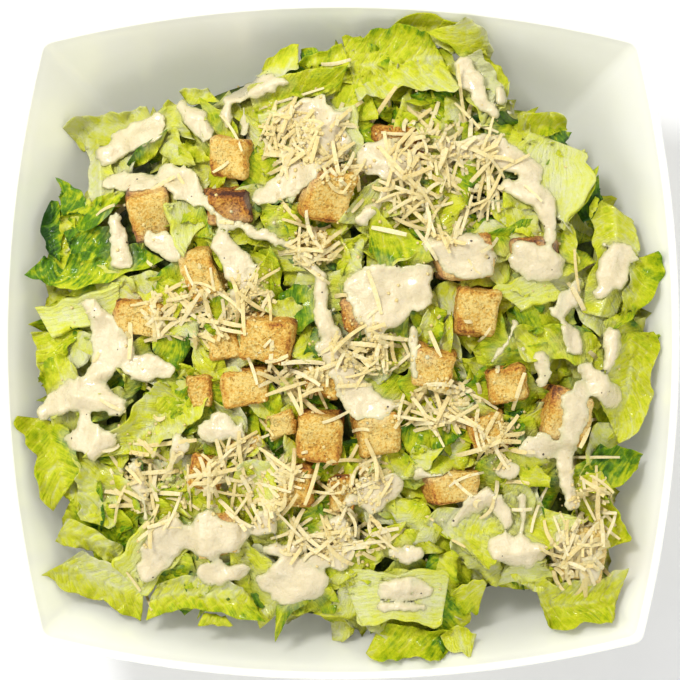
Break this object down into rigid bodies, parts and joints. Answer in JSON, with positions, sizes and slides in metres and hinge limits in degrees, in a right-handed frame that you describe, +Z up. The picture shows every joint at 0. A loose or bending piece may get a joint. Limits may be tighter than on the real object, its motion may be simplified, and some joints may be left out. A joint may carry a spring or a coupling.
{
  "type": "caesar salad in a square bowl",
  "caption": "A heap of chopped romaine with toasted bread cubes, creamy dressing and shredded cheese fills a white square bowl with bulging sides, seen from above.",
  "frame": {"origin": "centre of the underside of the bowl's foot, on the surface it stands on", "axes": "+Z up; +X to the right and +Y to the back of the bowl as the salad is seen from above"},
  "size_m": [0.254, 0.254, 0.101],
  "materials": {
    "white_glaze": "smooth, softly glossy",
    "romaine": "moist leaf with dressing",
    "toasted_bread": "dry, toasted"
  },
  "bodies": {
    "root": {"bowl": "white_glaze", "salad": "romaine", "crouton_01": "toasted_bread", "crouton_02": "toasted_bread", "crouton_03": "toasted_bread", "crouton_04": "toasted_bread", "crouton_05": "toasted_bread", "crouton_06": "toasted_bread", "crouton_07": "toasted_bread", "crouton_08": "toasted_bread", "crouton_09": "toasted_bread", "crouton_10": "toasted_bread", "crouton_11": "toasted_bread", "crouton_12": "toasted_bread", "crouton_13": "toasted_bread", "crouton_14": "toasted_bread", "crouton_15": "toasted_bread", "crouton_16": "toasted_bread", "crouton_17": "toasted_bread", "crouton_18": "toasted_bread", "crouton_19": "toasted_bread", "crouton_20": "toasted_bread", "crouton_21": "toasted_bread", "crouton_22": "toasted_bread", "crouton_23": "toasted_bread", "crouton_24": "toasted_bread", "crouton_25": "toasted_bread", "crouton_26": "toasted_bread", "crouton_27": "toasted_bread", "crouton_28": "toasted_bread", "crouton_29": "toasted_bread", "crouton_30": "toasted_bread", "crouton_31": "toasted_bread", "crouton_32": "toasted_bread"}
  },
  "joints": []
}
